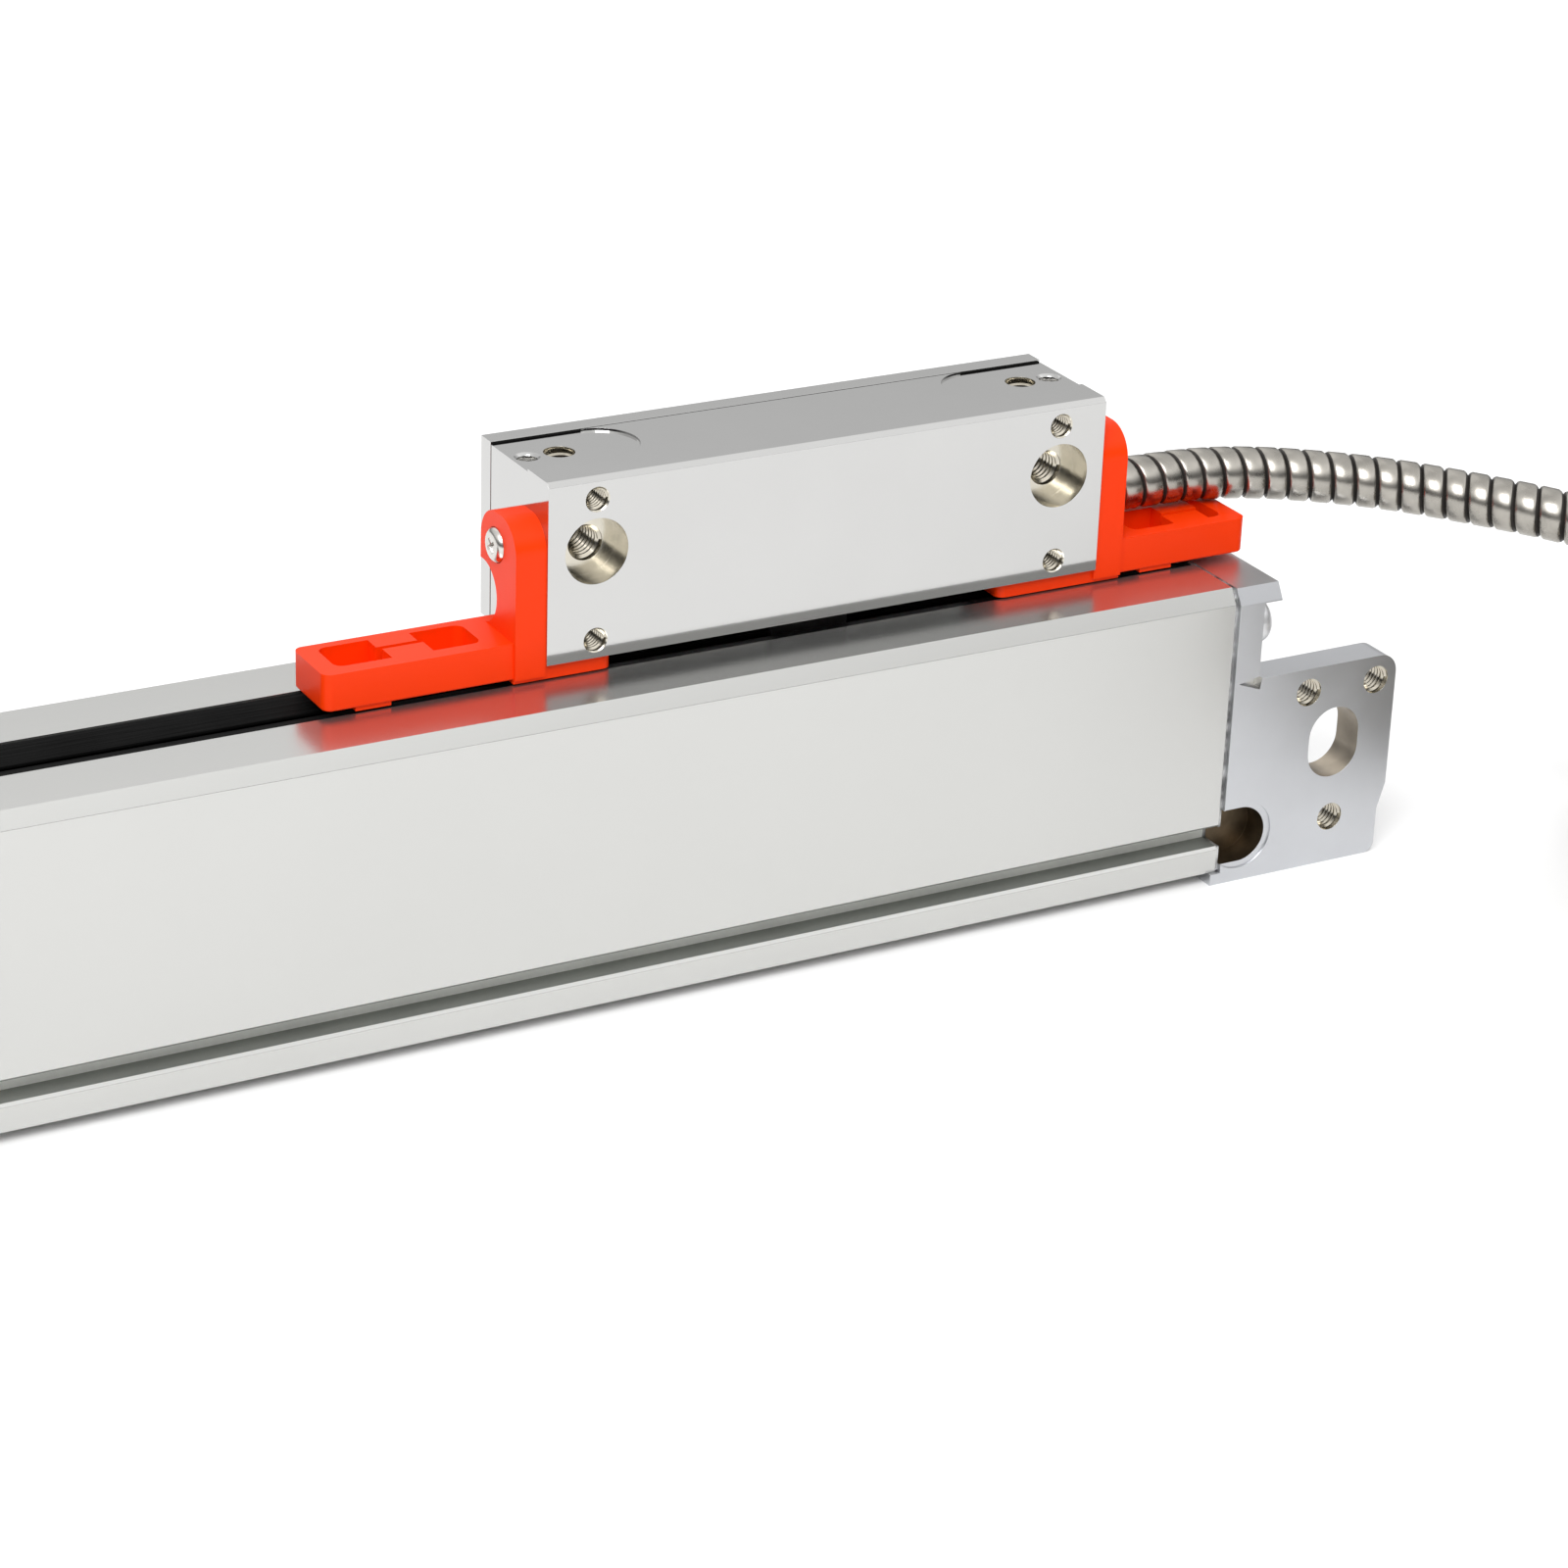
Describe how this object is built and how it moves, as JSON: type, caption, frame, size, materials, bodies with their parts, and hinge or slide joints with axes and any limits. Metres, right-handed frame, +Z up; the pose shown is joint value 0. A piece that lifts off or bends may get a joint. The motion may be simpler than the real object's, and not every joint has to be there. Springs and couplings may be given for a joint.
{
  "type": "linear glass scale",
  "caption": "Sealed linear glass scale with a sliding chrome reading head, orange alignment guards, slotted end ears and an armoured cable.",
  "frame": {"origin": "middle of the scale's length and depth, on the plane the end caps rest on", "axes": "+X along the scale towards the hose end, -Y out of the face with the head's mounting holes, +Z up from the foot towards the reading head"},
  "size_m": [0.5284, 0.1345, 0.0876],
  "materials": {
    "anodised": "natural anodised, satin",
    "scale_glass": "clear float glass",
    "seal_rubber": "black elastomer",
    "plated_casting": "satin plated die casting",
    "chrome": "bright plated casting",
    "screw_steel": "plated screw steel",
    "arm_steel": "ground stainless",
    "carriage": "dark moulded",
    "guard_orange": "semi-gloss orange-red moulding",
    "hose_steel": "strip-wound stainless",
    "gland_nickel": "nickel-plated brass",
    "board_green": "circuit board",
    "lamp": "moulded lens",
    "black_plastic": "black moulding",
    "connector_metal": "tin plated"
  },
  "bodies": {
    "scale": {"housing_extrusion": "anodised", "glass_scale": "scale_glass", "glass_cushion_cord": "seal_rubber", "lip_seal_front": "seal_rubber", "lip_seal_back": "seal_rubber", "end_cap_left": "plated_casting", "end_cap_right": "plated_casting", "end_gasket_left": "seal_rubber", "end_gasket_right": "seal_rubber", "end_cap_screws_left": "screw_steel", "end_cap_screws_right": "screw_steel"},
    "reader": {"back_plate_screws": "screw_steel", "board_screws": "screw_steel", "board_standoffs": "screw_steel", "carriage_body": "carriage", "coil_tie": "black_plastic", "connector_face": "connector_metal", "connector_hood_screws": "screw_steel", "connector_insert": "black_plastic", "connector_jackscrews": "screw_steel", "connector_shell_lower": "black_plastic", "connector_shell_upper": "black_plastic", "coupling_ball": "arm_steel", "coupling_spring": "arm_steel", "guard_left": "guard_orange", "guard_right": "guard_orange", "guard_screws": "screw_steel", "guide_arm": "arm_steel", "guide_arm_screws": "screw_steel", "head_back_plate": "chrome", "head_block": "chrome", "head_circuit_board": "board_green", "head_gasket": "seal_rubber", "head_set_screws": "screw_steel", "hose_coil": "hose_steel", "hose_gland": "gland_nickel", "hose_tail": "hose_steel", "hose_tube": "hose_steel", "light_source": "lamp", "photocell_board": "board_green", "roller_pins": "arm_steel", "scanning_reticle": "scale_glass"},
    "face_roller_left": {"face_roller_left": "arm_steel"},
    "face_roller_right": {"face_roller_right": "arm_steel"},
    "face_roller_lower": {"face_roller_lower": "arm_steel"},
    "edge_roller_left": {"edge_roller_left": "arm_steel"},
    "edge_roller_right": {"edge_roller_right": "arm_steel"}
  },
  "joints": [
    {"name": "reader_slide", "type": "slide", "parent": "scale", "child": "reader", "axis": [1, 0, 0], "range_m": [-0.154, 0.004]},
    {"name": "face_roller_left_spin", "type": "hinge", "parent": "reader", "child": "face_roller_left", "pos_m": [0.037, 0.0017, 0.028], "axis": [0, 0, 1], "continuous": true},
    {"name": "face_roller_right_spin", "type": "hinge", "parent": "reader", "child": "face_roller_right", "pos_m": [0.113, 0.0017, 0.028], "axis": [0, 0, 1], "continuous": true},
    {"name": "face_roller_lower_spin", "type": "hinge", "parent": "reader", "child": "face_roller_lower", "pos_m": [0.075, 0.0017, 0.023], "axis": [0, 0, 1], "continuous": true},
    {"name": "edge_roller_left_spin", "type": "hinge", "parent": "reader", "child": "edge_roller_left", "pos_m": [0.048, 0.0068, 0.03865], "axis": [0, 1, 0], "continuous": true},
    {"name": "edge_roller_right_spin", "type": "hinge", "parent": "reader", "child": "edge_roller_right", "pos_m": [0.102, 0.0068, 0.03865], "axis": [0, 1, 0], "continuous": true}
  ],
  "couplings": [
    {"joint": "face_roller_left_spin", "follows": "reader_slide", "rad_per_m": 333.33},
    {"joint": "face_roller_right_spin", "follows": "reader_slide", "rad_per_m": 333.33},
    {"joint": "face_roller_lower_spin", "follows": "reader_slide", "rad_per_m": 333.33},
    {"joint": "edge_roller_left_spin", "follows": "reader_slide", "rad_per_m": 333.33},
    {"joint": "edge_roller_right_spin", "follows": "reader_slide", "rad_per_m": 333.33}
  ]
}
